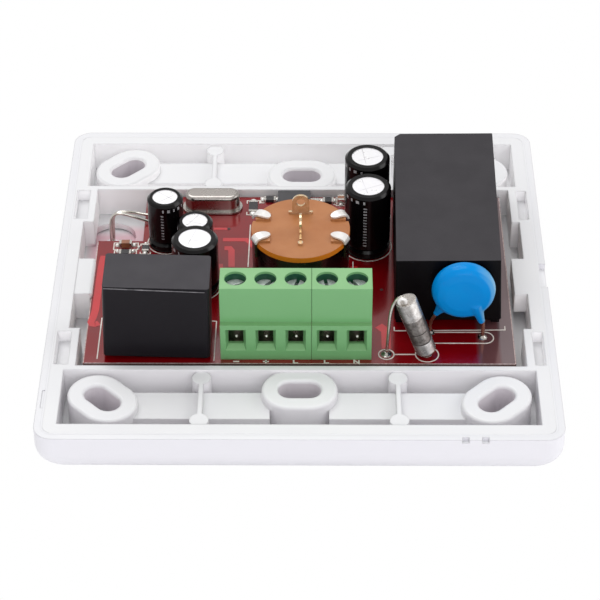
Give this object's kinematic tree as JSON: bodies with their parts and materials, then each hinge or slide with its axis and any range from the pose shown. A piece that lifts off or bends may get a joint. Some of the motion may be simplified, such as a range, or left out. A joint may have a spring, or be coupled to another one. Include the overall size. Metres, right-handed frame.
{
  "type": "remote control dimmer",
  "caption": "Square wall dimmer seen from its open back: a white front plate with a rotary knob, a slotted mounting frame, and a red circuit board with screw terminals and a relay.",
  "frame": {"origin": "centre of the plate, midway between the wall screws, in the plane of the rim that lies against the wall", "axes": "+Z out of the open back, towards the wall; -Z out of the front face and its knob; +Y towards the plate's edge away from the terminals; +X to the right when the back is seen with the terminals nearest"},
  "size_m": [0.086, 0.086, 0.0362],
  "materials": {
    "white_front": "smooth white moulding, satin sheen",
    "white_frame": "fine matt white moulding",
    "white_knob": "satin white moulding",
    "red_board": "red lacquered glass-fibre laminate",
    "plated_metal": "dull nickel plate",
    "tinned_wire": "bright tin plate",
    "yellow_brass": "bare brass",
    "phenolic": "pressed phenolic paper",
    "green_housing": "satin green moulding",
    "black_module": "satin black moulding",
    "black_relay": "satin black moulding",
    "black_sleeve": "shrunk black film",
    "dark_compound": "cast compound",
    "bobbin_plastic": "dark glass-filled moulding",
    "copper_coil": "enamelled copper wire",
    "iron": "plated soft iron",
    "can_aluminium": "bright drawn aluminium",
    "seal_rubber": "matt black rubber",
    "blue_coating": "dipped blue lacquer",
    "fuse_glass": "grey ceramic tube",
    "lamp_lens": "clear lens",
    "crystal_metal": "bright drawn can",
    "chip_black": "black glazed chip",
    "chip_brown": "brown ceramic chip"
  },
  "bodies": {
    "dimmer_base": {"cover_plate": "white_front", "mounting_frame": "white_frame", "pot_bushing": "plated_metal", "pot_track": "phenolic", "pot_terminals": "tinned_wire", "pot_can": "plated_metal", "pot_switch_disc": "phenolic", "pot_switch_lugs": "tinned_wire", "pot_washer": "plated_metal", "pot_nut": "plated_metal", "terminal_pins": "tinned_wire", "terminal_housing_3": "green_housing", "terminal_housing_2": "green_housing", "power_module_case": "black_module", "power_module_potting": "dark_compound", "power_module_pins": "tinned_wire", "relay_case": "black_relay", "relay_base": "black_relay", "relay_core": "iron", "relay_bobbin": "bobbin_plastic", "relay_winding": "copper_coil", "relay_pins": "tinned_wire", "capacitor_cans": "can_aluminium", "capacitor_seals": "seal_rubber", "capacitor_leads": "tinned_wire", "varistor_leads": "copper_coil", "varistor_disc": "blue_coating", "fuse_tube": "fuse_glass", "fuse_caps": "tinned_wire", "fuse_leads": "tinned_wire", "crystal_can": "crystal_metal", "crystal_leads": "tinned_wire", "receiver_lamp": "lamp_lens", "lamp_leads": "tinned_wire", "chip_resistors": "chip_black", "chip_capacitors": "chip_brown", "chip_ends": "tinned_wire", "chip_packages": "black_sleeve", "package_leads": "tinned_wire", "circuit_board": "red_board", "capacitor_sleeve_1": "black_sleeve", "capacitor_sleeve_2": "black_sleeve", "capacitor_sleeve_3": "black_sleeve", "capacitor_sleeve_4": "black_sleeve", "capacitor_sleeve_5": "black_sleeve"},
    "knob_and_shaft": {"knob": "white_knob", "pot_shaft": "plated_metal", "pot_wiper": "phenolic"},
    "clamp_screw_1": {"clamp_screw_1": "plated_metal"},
    "clamp_cage_1": {"clamp_cage_1": "plated_metal"},
    "clamp_screw_2": {"clamp_screw_2": "plated_metal"},
    "clamp_cage_2": {"clamp_cage_2": "plated_metal"},
    "clamp_screw_3": {"clamp_screw_3": "plated_metal"},
    "clamp_cage_3": {"clamp_cage_3": "plated_metal"},
    "clamp_screw_4": {"clamp_screw_4": "plated_metal"},
    "clamp_cage_4": {"clamp_cage_4": "plated_metal"},
    "clamp_screw_5": {"clamp_screw_5": "plated_metal"},
    "clamp_cage_5": {"clamp_cage_5": "plated_metal"},
    "relay_armature": {"relay_armature": "iron", "relay_spring": "yellow_brass"}
  },
  "joints": [
    {"name": "knob_turn", "type": "hinge", "parent": "dimmer_base", "child": "knob_and_shaft", "pos_m": [0, 0, -0.012], "axis": [0, 0, 1], "range_deg": [0, 300]},
    {"name": "clamp_screw_turn_1", "type": "hinge", "parent": "dimmer_base", "child": "clamp_screw_1", "pos_m": [-0.0107, -0.018, 0.0098], "axis": [0, 0, -1], "range_deg": [0, 1980]},
    {"name": "clamp_cage_lift_1", "type": "slide", "parent": "dimmer_base", "child": "clamp_cage_1", "axis": [0, 0, 1], "range_m": [0, 0.00248]},
    {"name": "clamp_screw_turn_2", "type": "hinge", "parent": "dimmer_base", "child": "clamp_screw_2", "pos_m": [-0.0057, -0.018, 0.0098], "axis": [0, 0, -1], "range_deg": [0, 1980]},
    {"name": "clamp_cage_lift_2", "type": "slide", "parent": "dimmer_base", "child": "clamp_cage_2", "axis": [0, 0, 1], "range_m": [0, 0.00248]},
    {"name": "clamp_screw_turn_3", "type": "hinge", "parent": "dimmer_base", "child": "clamp_screw_3", "pos_m": [-0.0007, -0.018, 0.0098], "axis": [0, 0, -1], "range_deg": [0, 1980]},
    {"name": "clamp_cage_lift_3", "type": "slide", "parent": "dimmer_base", "child": "clamp_cage_3", "axis": [0, 0, 1], "range_m": [0, 0.00248]},
    {"name": "clamp_screw_turn_4", "type": "hinge", "parent": "dimmer_base", "child": "clamp_screw_4", "pos_m": [0.0045, -0.018, 0.0098], "axis": [0, 0, -1], "range_deg": [0, 1980]},
    {"name": "clamp_cage_lift_4", "type": "slide", "parent": "dimmer_base", "child": "clamp_cage_4", "axis": [0, 0, 1], "range_m": [0, 0.00248]},
    {"name": "clamp_screw_turn_5", "type": "hinge", "parent": "dimmer_base", "child": "clamp_screw_5", "pos_m": [0.0095, -0.018, 0.0098], "axis": [0, 0, -1], "range_deg": [0, 1980]},
    {"name": "clamp_cage_lift_5", "type": "slide", "parent": "dimmer_base", "child": "clamp_cage_5", "axis": [0, 0, 1], "range_m": [0, 0.00248]},
    {"name": "relay_armature_tilt", "type": "hinge", "parent": "dimmer_base", "child": "relay_armature", "pos_m": [-0.01647, -0.01723, 0.00973], "axis": [-0.0035, -1, 0], "range_deg": [0, 4.5], "stiffness_Nm_per_rad": 0.02, "springref_deg": -2.86}
  ],
  "couplings": [
    {"joint": "clamp_screw_turn_1", "follows": "clamp_cage_lift_1", "rad_per_m": 13963},
    {"joint": "clamp_screw_turn_2", "follows": "clamp_cage_lift_2", "rad_per_m": 13963},
    {"joint": "clamp_screw_turn_3", "follows": "clamp_cage_lift_3", "rad_per_m": 13963},
    {"joint": "clamp_screw_turn_4", "follows": "clamp_cage_lift_4", "rad_per_m": 13963},
    {"joint": "clamp_screw_turn_5", "follows": "clamp_cage_lift_5", "rad_per_m": 13963}
  ]
}
